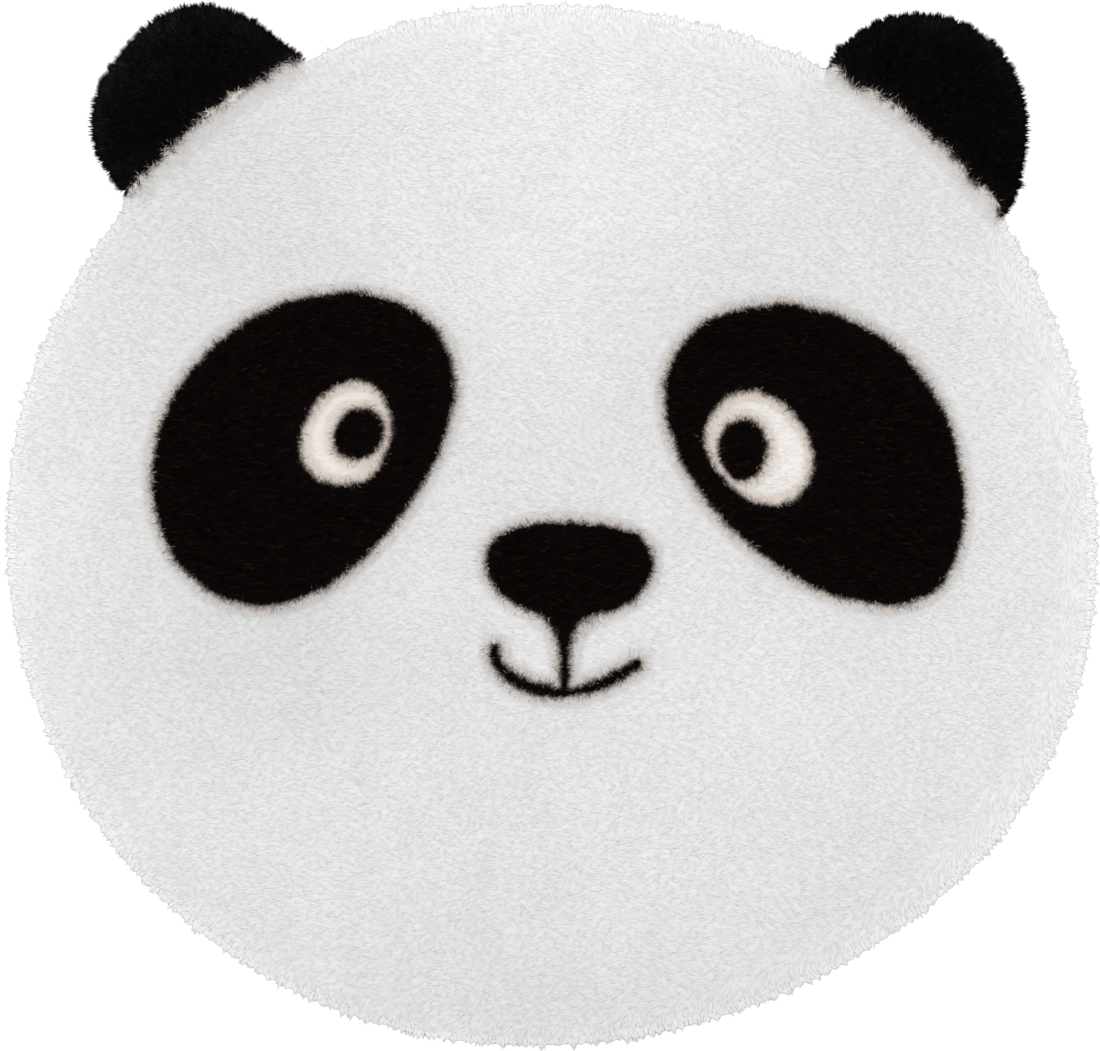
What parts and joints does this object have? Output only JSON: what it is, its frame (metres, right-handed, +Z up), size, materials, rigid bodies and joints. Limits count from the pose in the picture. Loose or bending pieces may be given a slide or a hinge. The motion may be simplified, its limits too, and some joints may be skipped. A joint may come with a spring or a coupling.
{
  "type": "animal shaped kids rug",
  "caption": "Flat plush floor rug in the outline of an animal's head, a round white panel with two black ears at its upper edge.",
  "frame": {"origin": "middle of the rug's footprint, on the floor it lies on", "axes": "+Z up out of the pile, +Y from the chin towards the ears, +X to the right as the face is seen from above"},
  "size_m": [0.9024, 0.8644, 0.0185],
  "materials": {
    "white_plush": "dense white faux fur, matt",
    "black_plush": "dense black faux fur, matt"
  },
  "bodies": {
    "root": {"head": "white_plush", "ear_left": "black_plush", "ear_right": "black_plush"}
  },
  "joints": []
}
